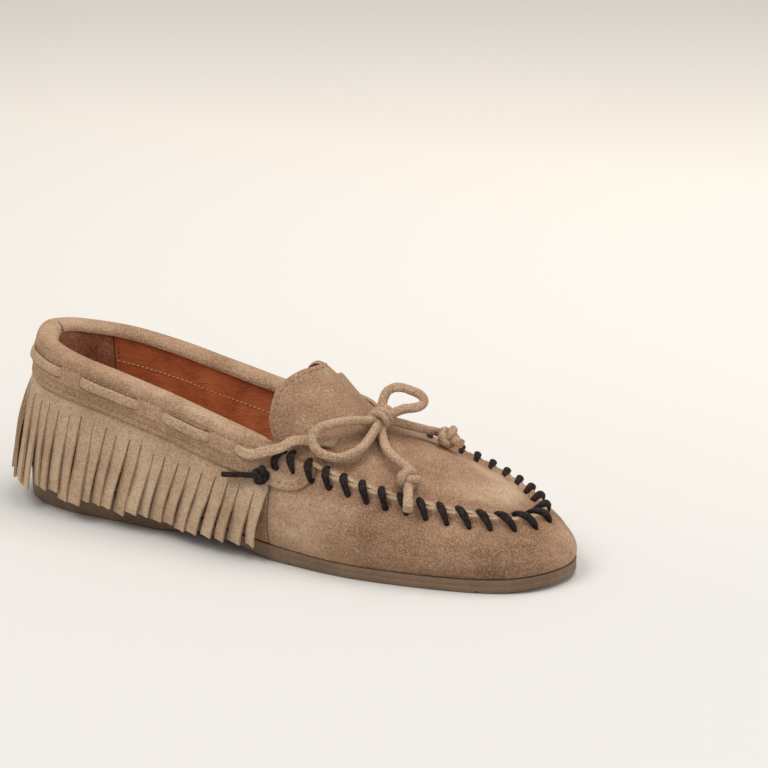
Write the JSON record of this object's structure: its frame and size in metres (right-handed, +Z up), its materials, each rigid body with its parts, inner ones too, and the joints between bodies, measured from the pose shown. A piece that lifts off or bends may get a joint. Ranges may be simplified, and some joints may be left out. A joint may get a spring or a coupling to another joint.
{
  "type": "fringed moccasin",
  "caption": "Soft slip-on moccasin for the right foot, with a fringed side, a laced collar and bow, a whipstitched toe seam and a low rubber heel.",
  "frame": {"origin": "centre of the underside of the whole shoe's box, on the ground", "axes": "+X from heel to toe, +Y to the inner (medial) side, +Z up"},
  "size_m": [0.2674, 0.0886, 0.0784],
  "materials": {
    "suede": "matt suede",
    "lining": "smooth tan leather",
    "grip": "dark brown suede",
    "thong": "satin, dark",
    "rubber": "satin",
    "board": "matt leatherboard",
    "stiffener": "matt impregnated felt"
  },
  "bodies": {
    "root": {"outsole": "rubber", "bottom_filler": "stiffener", "insole_board": "board", "sock_lining": "lining", "vamp": "suede", "vamp_lining": "lining", "quarter_lateral": "suede", "quarter_medial": "suede", "quarter_lining_lateral": "lining", "quarter_lining_medial": "lining", "heel_counter": "stiffener", "heel_grip_lining": "grip", "plug": "suede", "tongue_lining": "lining", "collar": "suede", "fringe_lateral": "suede", "fringe_medial": "suede", "collar_lace": "suede", "bow_knot": "suede", "bow_loop_lateral": "suede", "bow_loop_medial": "suede", "lace_tail_lateral": "suede", "lace_tail_medial": "suede", "tail_knot_lateral": "suede", "tail_knot_medial": "suede", "seam_thong": "thong", "thong_knot_lateral": "thong", "thong_knot_medial": "thong"}
  },
  "joints": []
}
